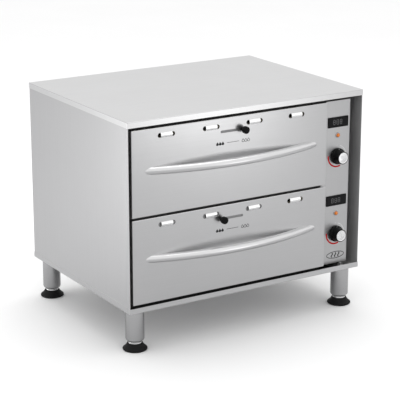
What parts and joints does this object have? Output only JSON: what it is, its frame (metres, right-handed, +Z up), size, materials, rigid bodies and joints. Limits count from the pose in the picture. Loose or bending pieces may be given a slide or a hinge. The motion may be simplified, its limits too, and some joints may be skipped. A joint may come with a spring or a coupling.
{
  "type": "food holding cabinet",
  "caption": "Freestanding stainless warming cabinet with stacked drawers for food pans, bowed handles, sliding vent dampers, a side control column and adjustable legs.",
  "frame": {"origin": "on the floor, under the middle of the object's bounding box", "axes": "+Z up, -Y towards the drawer fronts, +X towards the control column as seen from the front"},
  "size_m": [0.75, 0.6449, 0.635],
  "materials": {
    "casing_steel": "fine brushed stainless sheet",
    "damper_knob_plastic": "matte black plastic",
    "damper_steel": "stainless strip",
    "display_plastic": "black display with a tinted window",
    "drawer_steel": "horizontally brushed stainless sheet",
    "fastener_steel": "bright stainless",
    "foot_rubber": "matte black rubber",
    "foot_steel": "turned stainless",
    "frame_steel": "fine brushed stainless sheet",
    "gasket_rubber": "black silicone seal",
    "gland_plastic": "black polyamide",
    "handle_steel": "satin stainless tube",
    "heater_metal": "oxidised steel-sheathed element",
    "inner_steel": "mill-finish stainless sheet",
    "insulation_wool": "mineral wool",
    "knob_plastic": "satin black plastic",
    "lamp_amber": "amber lens in a bright bezel",
    "leg_steel": "satin stainless tube",
    "pan_steel": "satin drawn stainless",
    "thermostat_metal": "plated steel and copper tube",
    "zinc_steel": "zinc-plated steel"
  },
  "bodies": {
    "cabinet": {"back_left_leg": "leg_steel", "back_panel": "casing_steel", "back_panel_screws": "fastener_steel", "back_right_leg": "leg_steel", "bottom_tray": "casing_steel", "cable_gland": "gland_plastic", "chamber_insulation": "insulation_wool", "control_box": "frame_steel", "control_panel": "frame_steel", "front_frame": "frame_steel", "front_left_leg": "leg_steel", "front_right_leg": "leg_steel", "left_side_panel": "casing_steel", "leg_nuts": "fastener_steel", "lower_chamber": "inner_steel", "lower_control_display": "display_plastic", "lower_heater": "heater_metal", "lower_indicator_lamp": "lamp_amber", "lower_thermostat": "thermostat_metal", "right_side_panel": "casing_steel", "slide_outer_members": "zinc_steel", "support_rails": "zinc_steel", "top_panel": "casing_steel", "upper_chamber": "inner_steel", "upper_control_display": "display_plastic", "upper_heater": "heater_metal", "upper_indicator_lamp": "lamp_amber", "upper_thermostat": "thermostat_metal"},
    "lower_drawer": {"lower_drawer_front": "drawer_steel", "lower_drawer_liner": "inner_steel", "lower_drawer_insulation": "insulation_wool", "lower_drawer_gasket": "gasket_rubber", "lower_drawer_handle": "handle_steel", "lower_pan_frame": "inner_steel", "lower_food_pan": "pan_steel", "lower_slide_inner_members": "zinc_steel"},
    "lower_slide_middles": {"lower_slide_middle_members": "zinc_steel"},
    "lower_damper_slider": {"lower_damper": "damper_steel", "lower_damper_knob": "damper_knob_plastic"},
    "lower_knob": {"lower_thermostat_knob": "knob_plastic"},
    "upper_drawer": {"upper_drawer_front": "drawer_steel", "upper_drawer_liner": "inner_steel", "upper_drawer_insulation": "insulation_wool", "upper_drawer_gasket": "gasket_rubber", "upper_drawer_handle": "handle_steel", "upper_pan_frame": "inner_steel", "upper_food_pan": "pan_steel", "upper_slide_inner_members": "zinc_steel"},
    "upper_slide_middles": {"upper_slide_middle_members": "zinc_steel"},
    "upper_damper_slider": {"upper_damper": "damper_steel", "upper_damper_knob": "damper_knob_plastic"},
    "upper_knob": {"upper_thermostat_knob": "knob_plastic"},
    "front_left_foot": {"front_left_foot_stem": "foot_steel", "front_left_foot_pad": "foot_rubber"},
    "front_right_foot": {"front_right_foot_stem": "foot_steel", "front_right_foot_pad": "foot_rubber"},
    "back_left_foot": {"back_left_foot_stem": "foot_steel", "back_left_foot_pad": "foot_rubber"},
    "back_right_foot": {"back_right_foot_stem": "foot_steel", "back_right_foot_pad": "foot_rubber"}
  },
  "joints": [
    {"name": "lower_drawer_slide", "type": "slide", "parent": "cabinet", "child": "lower_drawer", "axis": [0, -1, 0], "range_m": [0, 0.38]},
    {"name": "lower_middle_slide", "type": "slide", "parent": "cabinet", "child": "lower_slide_middles", "axis": [0, -1, 0], "range_m": [0, 0.19]},
    {"name": "lower_damper_slide", "type": "slide", "parent": "lower_drawer", "child": "lower_damper_slider", "axis": [1, 0, 0], "range_m": [0, 0.066]},
    {"name": "lower_knob_turn", "type": "hinge", "parent": "cabinet", "child": "lower_knob", "pos_m": [0.306, -0.2555, 0.2216], "axis": [0, 1, 0], "range_deg": [0, 280]},
    {"name": "upper_drawer_slide", "type": "slide", "parent": "cabinet", "child": "upper_drawer", "axis": [0, -1, 0], "range_m": [0, 0.38]},
    {"name": "upper_middle_slide", "type": "slide", "parent": "cabinet", "child": "upper_slide_middles", "axis": [0, -1, 0], "range_m": [0, 0.19]},
    {"name": "upper_damper_slide", "type": "slide", "parent": "upper_drawer", "child": "upper_damper_slider", "axis": [1, 0, 0], "range_m": [-0.066, 0]},
    {"name": "upper_knob_turn", "type": "hinge", "parent": "cabinet", "child": "upper_knob", "pos_m": [0.306, -0.2555, 0.4488], "axis": [0, 1, 0], "range_deg": [0, 280]},
    {"name": "front_left_foot_screw", "type": "slide", "parent": "cabinet", "child": "front_left_foot", "axis": [0, 0, -1], "range_m": [0, 0.022]},
    {"name": "front_right_foot_screw", "type": "slide", "parent": "cabinet", "child": "front_right_foot", "axis": [0, 0, -1], "range_m": [0, 0.022]},
    {"name": "back_left_foot_screw", "type": "slide", "parent": "cabinet", "child": "back_left_foot", "axis": [0, 0, -1], "range_m": [0, 0.022]},
    {"name": "back_right_foot_screw", "type": "slide", "parent": "cabinet", "child": "back_right_foot", "axis": [0, 0, -1], "range_m": [0, 0.022]}
  ],
  "couplings": [
    {"joint": "lower_middle_slide", "follows": "lower_drawer_slide", "ratio": 0.5},
    {"joint": "upper_middle_slide", "follows": "upper_drawer_slide", "ratio": 0.5}
  ]
}
